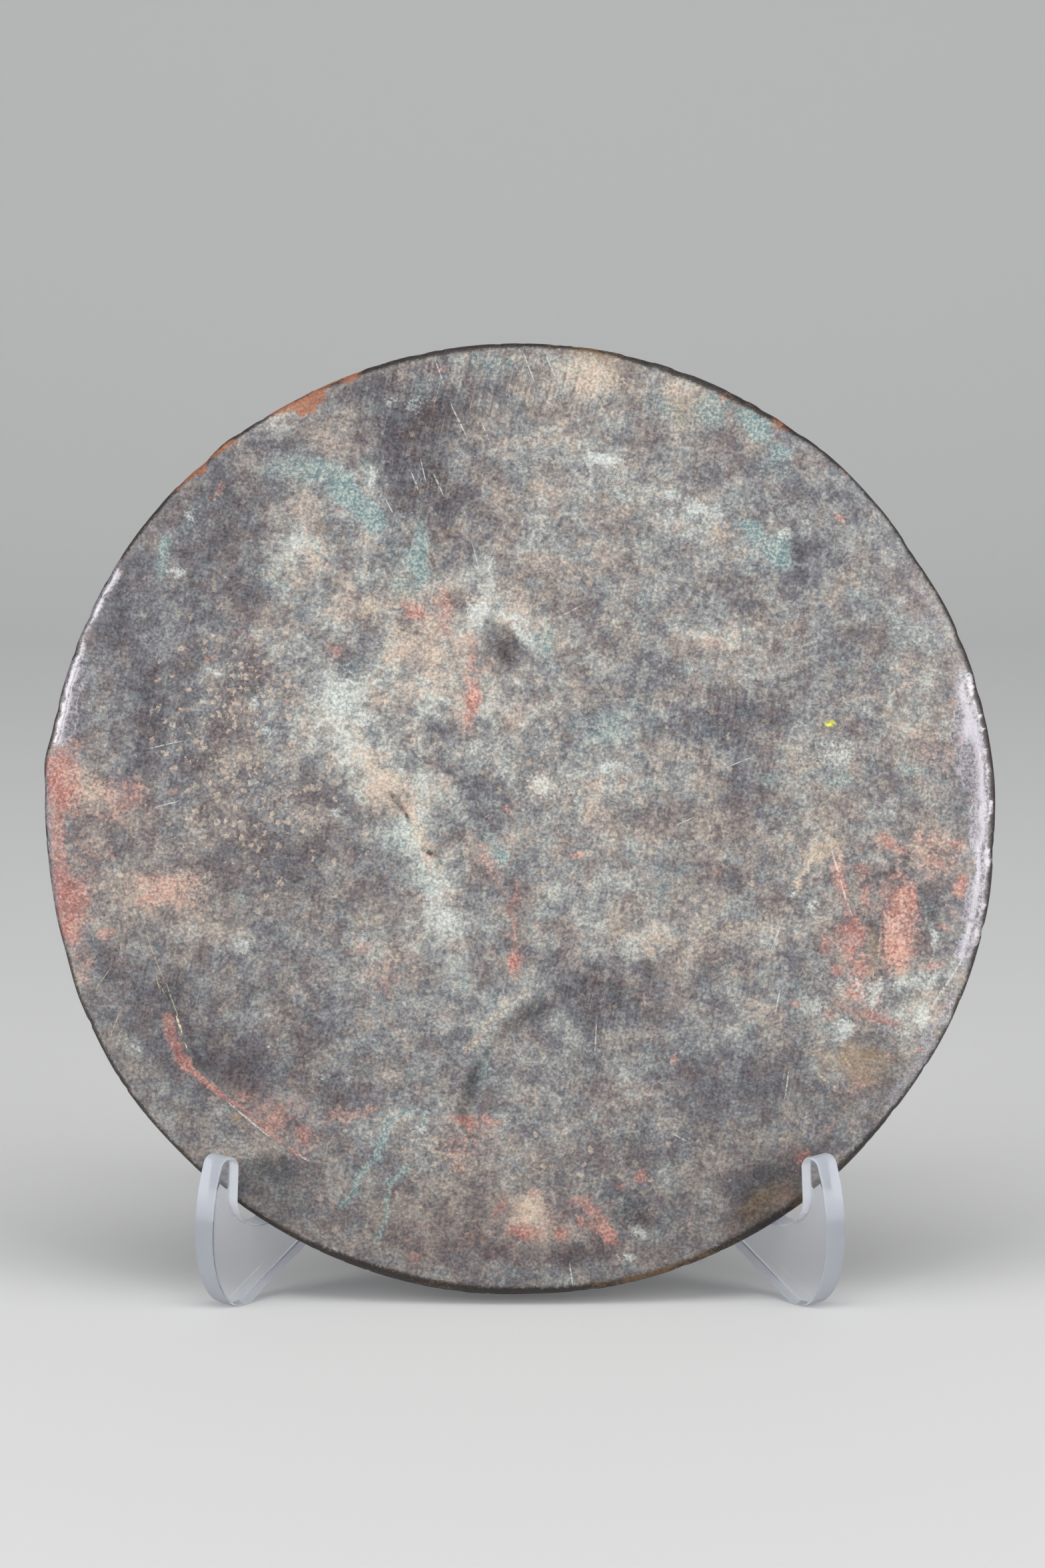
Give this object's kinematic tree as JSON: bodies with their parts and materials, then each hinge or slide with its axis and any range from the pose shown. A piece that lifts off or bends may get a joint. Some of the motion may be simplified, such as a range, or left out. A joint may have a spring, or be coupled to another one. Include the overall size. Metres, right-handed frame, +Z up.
{
  "type": "bronze mirror",
  "caption": "Round cast bronze mirror with a worn green, buff and dull red patina, leaning back on a clear stand of crossed, slotted sheets.",
  "frame": {"origin": "on the floor, under the middle of the whole object's box", "axes": "+Z up, the mirror's face towards -Y, +X to the right seen from the front"},
  "size_m": [0.1998, 0.1064, 0.1982],
  "materials": {
    "patinated_bronze": "matt mottled corrosion in grey, buff and pale green, with dull red patches and a dark brown rim",
    "clear_acrylic": "clear, polished on the faces and slightly dull on the cut edges"
  },
  "bodies": {
    "root": {"mirror_disc": "patinated_bronze", "stand_sheet_left": "clear_acrylic", "stand_sheet_right": "clear_acrylic"}
  },
  "joints": []
}
